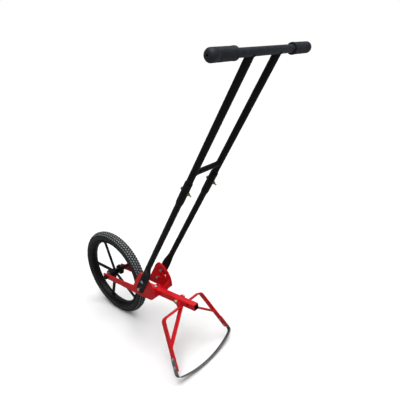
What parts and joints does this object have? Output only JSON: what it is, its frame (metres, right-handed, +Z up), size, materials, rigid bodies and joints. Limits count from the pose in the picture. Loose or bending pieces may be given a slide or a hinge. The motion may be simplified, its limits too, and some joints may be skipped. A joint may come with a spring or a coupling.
{
  "type": "wheel hoe",
  "caption": "Push wheel hoe with an air-filled tyre, a plate fork, a square tool bar carrying a swinging stirrup blade, and a tilt-adjustable T-handle with rubber grips.",
  "frame": {"origin": "middle of the tool's outline on the ground: x and y are the middle of the bounding box and z = 0 is the ground that the wheel and the blade both touch", "axes": "+X is the direction of travel (wheel in front, handle behind), +Y is the operator's left, +Z is up"},
  "size_m": [0.9974, 0.46, 1.1508],
  "materials": {
    "red_paint": "gloss powder coat",
    "black_paint": "satin powder coat",
    "zinc": "bright zinc plate",
    "yellow_zinc": "yellow zinc plate",
    "tyre_rubber": "matt moulded rubber",
    "tube_rubber": "smooth butyl rubber",
    "grip_rubber": "matt textured rubber",
    "blade_steel": "dark oiled spring steel",
    "bright_steel": "ground steel"
  },
  "bodies": {
    "chassis": {"axle": "zinc", "axle_spacer_left": "black_paint", "axle_spacer_right": "black_paint", "axle_nut_left": "black_paint", "axle_nut_right": "black_paint", "fork_plate_left": "red_paint", "fork_plate_right": "red_paint", "tool_bar": "red_paint", "saddle_plate": "red_paint", "tool_bar_bolt": "zinc", "tool_bar_nut": "zinc", "pivot_bolt_left": "zinc", "pivot_bolt_right": "zinc", "pivot_nut_left": "zinc", "pivot_nut_right": "zinc", "stirrup_pivot_bolt": "yellow_zinc", "stirrup_pivot_nut": "yellow_zinc", "stirrup_washer_left": "yellow_zinc", "stirrup_washer_right": "yellow_zinc"},
    "wheel": {"tyre": "tyre_rubber", "inner_tube": "tube_rubber", "rim": "black_paint", "hub_shell": "black_paint", "spoke_1": "black_paint", "spoke_2": "black_paint", "spoke_3": "black_paint", "spoke_4": "black_paint", "spoke_5": "black_paint", "hub_bearing_left": "bright_steel", "hub_bearing_right": "bright_steel"},
    "handle": {"lower_tube_left": "black_paint", "lower_tube_right": "black_paint", "upper_tube_left": "black_paint", "upper_tube_right": "black_paint", "grip_left": "grip_rubber", "grip_right": "grip_rubber", "clamp_bolt_left": "zinc", "clamp_bolt_right": "zinc", "clamp_nut_left": "zinc", "clamp_nut_right": "zinc", "joint_bolt_left": "yellow_zinc", "joint_bolt_right": "yellow_zinc", "joint_nut_left": "yellow_zinc", "joint_nut_right": "yellow_zinc", "cross_brace": "black_paint", "t_bar": "black_paint"},
    "stirrup": {"stirrup_frame": "red_paint", "blade": "blade_steel", "bracket_ear_left": "red_paint", "bracket_ear_right": "red_paint", "strut_left": "red_paint", "strut_right": "red_paint", "blade_bolt_left_upper": "zinc", "blade_bolt_left_lower": "zinc", "blade_bolt_right_upper": "zinc", "blade_bolt_right_lower": "zinc", "blade_nut_left_upper": "zinc", "blade_nut_left_lower": "zinc", "blade_nut_right_upper": "zinc", "blade_nut_right_lower": "zinc"}
  },
  "joints": [
    {"name": "wheel_spin", "type": "hinge", "parent": "chassis", "child": "wheel", "pos_m": [0.29914, 0, 0.2], "axis": [0, 1, 0], "continuous": true},
    {"name": "handle_tilt", "type": "hinge", "parent": "chassis", "child": "handle", "pos_m": [0.06443, 0, 0.23589], "axis": [0, -1, 0], "range_deg": [-5, 30]},
    {"name": "stirrup_swing", "type": "hinge", "parent": "chassis", "child": "stirrup", "pos_m": [-0.10786, 0, 0.22876], "axis": [0, -1, 0], "range_deg": [-1, 58]}
  ]
}
